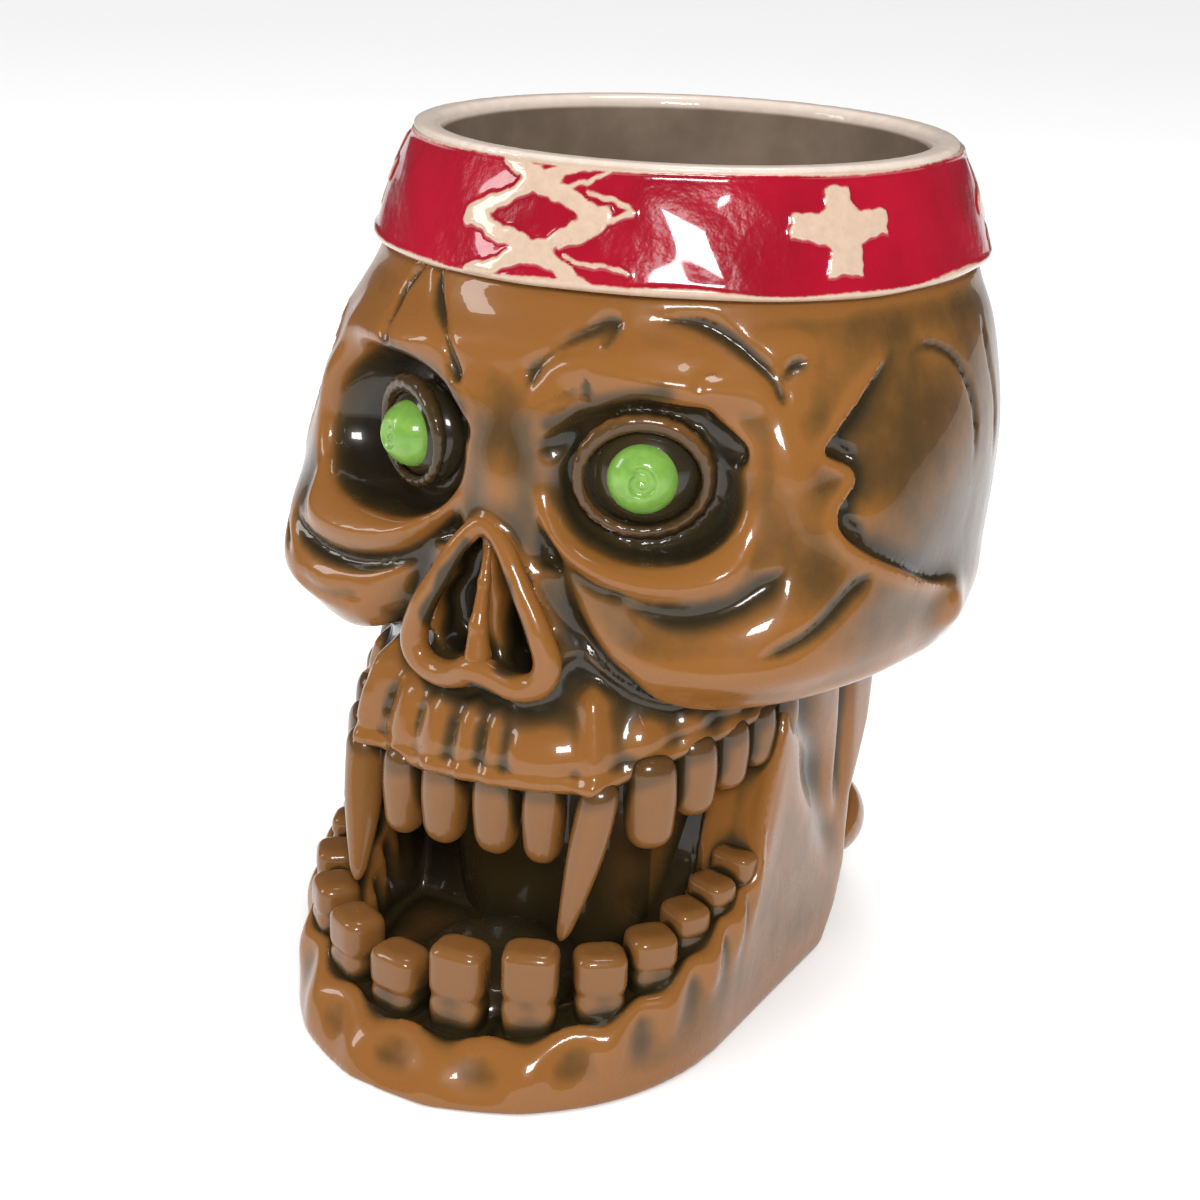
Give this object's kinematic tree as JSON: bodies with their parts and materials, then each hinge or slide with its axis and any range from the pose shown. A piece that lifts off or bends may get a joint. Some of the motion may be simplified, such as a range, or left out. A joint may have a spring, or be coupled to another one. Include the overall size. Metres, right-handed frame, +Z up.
{
  "type": "tiki mug",
  "caption": "Ceramic drinking mug shaped as a grinning skull: a cup in the cranium, a flared headband at the rim, open jaws with fangs.",
  "frame": {"origin": "where the cup's centre line meets the plane that the mug stands on", "axes": "+Z up along the cup's centre line; the face looks along -Y; +X is the skull's own left side"},
  "size_m": [0.1192, 0.1504, 0.15],
  "materials": {
    "bone_glaze": "glossy amber-brown glaze, dark olive where it pools",
    "tooth_glaze": "glossy amber glaze over worn edges",
    "red_glaze": "glossy red glaze with bare cream motifs",
    "eye_glaze": "glossy dark olive glaze",
    "iris_glaze": "green glaze",
    "tongue_glaze": "glossy dark olive glaze"
  },
  "bodies": {
    "root": {"headband": "red_glaze", "left_eyeball": "eye_glaze", "left_fang": "tooth_glaze", "left_iris": "iris_glaze", "lower_jaw": "bone_glaze", "lower_left_tooth_1": "tooth_glaze", "lower_left_tooth_2": "tooth_glaze", "lower_left_tooth_3": "tooth_glaze", "lower_left_tooth_4": "tooth_glaze", "lower_left_tooth_5": "tooth_glaze", "lower_left_tooth_6": "tooth_glaze", "lower_left_tooth_7": "tooth_glaze", "lower_right_tooth_1": "tooth_glaze", "lower_right_tooth_2": "tooth_glaze", "lower_right_tooth_3": "tooth_glaze", "lower_right_tooth_4": "tooth_glaze", "lower_right_tooth_5": "tooth_glaze", "lower_right_tooth_6": "tooth_glaze", "lower_right_tooth_7": "tooth_glaze", "nasal_septum": "bone_glaze", "neck_bone_1": "bone_glaze", "neck_bone_2": "bone_glaze", "neck_bone_3": "bone_glaze", "nose_ridge": "bone_glaze", "right_eyeball": "eye_glaze", "right_fang": "tooth_glaze", "right_iris": "iris_glaze", "skull_cup": "bone_glaze", "tongue": "tongue_glaze", "upper_left_cheek_tooth_1": "tooth_glaze", "upper_left_cheek_tooth_2": "tooth_glaze", "upper_left_cheek_tooth_3": "tooth_glaze", "upper_left_cheek_tooth_4": "tooth_glaze", "upper_left_cheek_tooth_5": "tooth_glaze", "upper_left_incisor_1": "tooth_glaze", "upper_left_incisor_2": "tooth_glaze", "upper_right_cheek_tooth_1": "tooth_glaze", "upper_right_cheek_tooth_2": "tooth_glaze", "upper_right_cheek_tooth_3": "tooth_glaze", "upper_right_cheek_tooth_4": "tooth_glaze", "upper_right_cheek_tooth_5": "tooth_glaze", "upper_right_incisor_1": "tooth_glaze", "upper_right_incisor_2": "tooth_glaze"}
  },
  "joints": []
}
